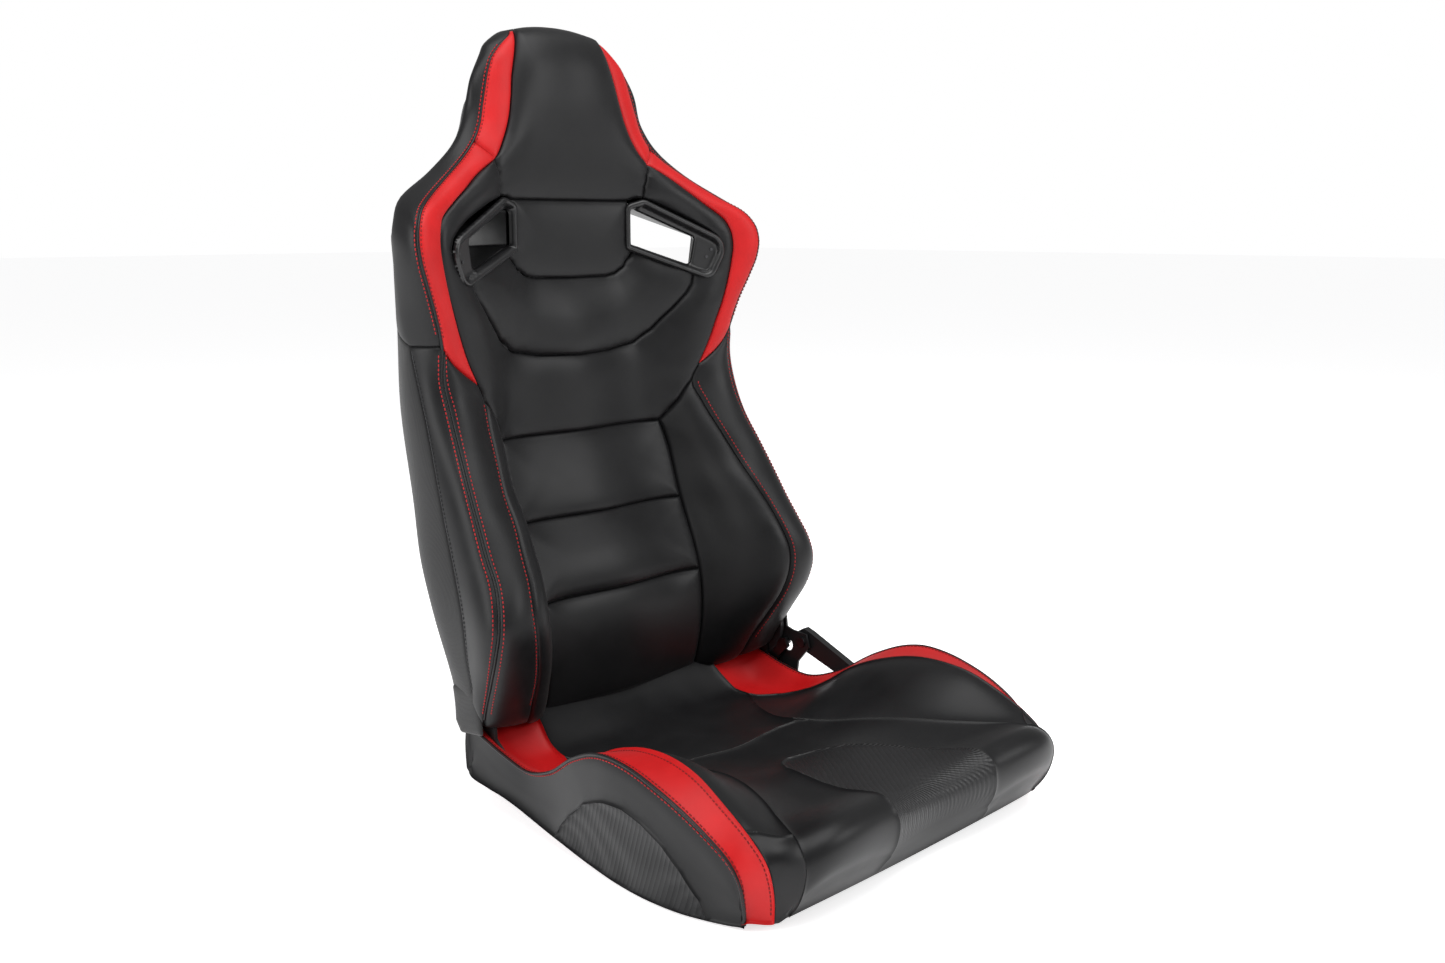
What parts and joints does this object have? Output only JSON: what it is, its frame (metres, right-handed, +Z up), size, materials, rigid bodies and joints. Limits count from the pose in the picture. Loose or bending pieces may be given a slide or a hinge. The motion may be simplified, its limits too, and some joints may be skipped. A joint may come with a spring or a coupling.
{
  "type": "racing seat",
  "caption": "Reclining sports seat with integral head, harness openings and red bolsters on a steel base.",
  "frame": {"origin": "on the underside of the base rails, midway between the four mounting holes", "axes": "+Z up, the sitter faces -Y, +X is the sitter's left"},
  "size_m": [0.568, 0.6899, 0.945],
  "materials": {
    "frame_steel": "powder coat",
    "black_steel": "satin",
    "zinc": "black zinc plated",
    "spring_steel": "phosphated",
    "black_cover": "grained imitation leather",
    "red_cover": "grained imitation leather",
    "rear_cover": "matte",
    "black_plastic": "satin"
  },
  "bodies": {
    "base": {"base_rail_right": "frame_steel", "base_rail_left": "frame_steel", "base_tube_front": "frame_steel", "base_tube_rear": "frame_steel", "mount_nuts": "zinc", "thigh_pan": "frame_steel", "seat_wires": "spring_steel", "cushion_pad": "black_cover", "cushion_bolster_right": "red_cover", "cushion_bolster_left": "red_cover", "recliner_plate_right": "black_steel", "recliner_cage_right": "black_steel", "hinge_plate_left": "black_steel", "pivot_bolt_right": "zinc", "pivot_bolt_left": "zinc", "bracket_bolts": "zinc", "bracket_spacers": "zinc", "cage_studs": "zinc", "lever_pin": "zinc", "pawl_pin": "zinc", "return_spring": "spring_steel"},
    "lever": {"lever_arm": "black_steel", "lever_grip": "black_plastic", "lever_link": "black_steel"},
    "pawl": {"pawl": "zinc", "release_pin": "zinc"},
    "backrest": {"recliner_arm_right": "frame_steel", "hinge_arm_left": "frame_steel", "spring_hook": "zinc", "upright_right": "frame_steel", "upright_left": "frame_steel", "arm_bolts": "zinc", "back_hoop": "frame_steel", "cross_tube_low": "frame_steel", "cross_tube_waist": "frame_steel", "cross_tube_neck": "frame_steel", "back_wires": "spring_steel", "neck_wires": "spring_steel", "back_pad": "black_cover", "back_bolster_right": "black_cover", "back_bolster_left": "black_cover", "shoulder_right": "red_cover", "shoulder_left": "red_cover", "head_pad": "black_cover", "back_shell": "rear_cover", "back_skirt": "rear_cover", "bezel_right": "black_plastic", "bezel_left": "black_plastic", "tunnel_right": "black_plastic", "tunnel_left": "black_plastic", "rear_bezel_right": "black_plastic", "rear_bezel_left": "black_plastic", "bezel_screws": "zinc"}
  },
  "joints": [
    {"name": "recline", "type": "hinge", "parent": "base", "child": "backrest", "pos_m": [0, 0.24, 0.127], "axis": [1, 0, 0], "range_deg": [-50, 25], "deforming": ["return_spring"]},
    {"name": "lever_lift", "type": "hinge", "parent": "base", "child": "lever", "pos_m": [0, 0.158, 0.11], "axis": [-1, 0, 0], "range_deg": [0, 12], "stiffness_Nm_per_rad": 4},
    {"name": "pawl_swing", "type": "hinge", "parent": "base", "child": "pawl", "pos_m": [0, 0.226, 0.069], "axis": [1, 0, 0], "range_deg": [0, 7.2]}
  ],
  "couplings": [
    {"joint": "pawl_swing", "follows": "lever_lift", "ratio": 0.6}
  ]
}
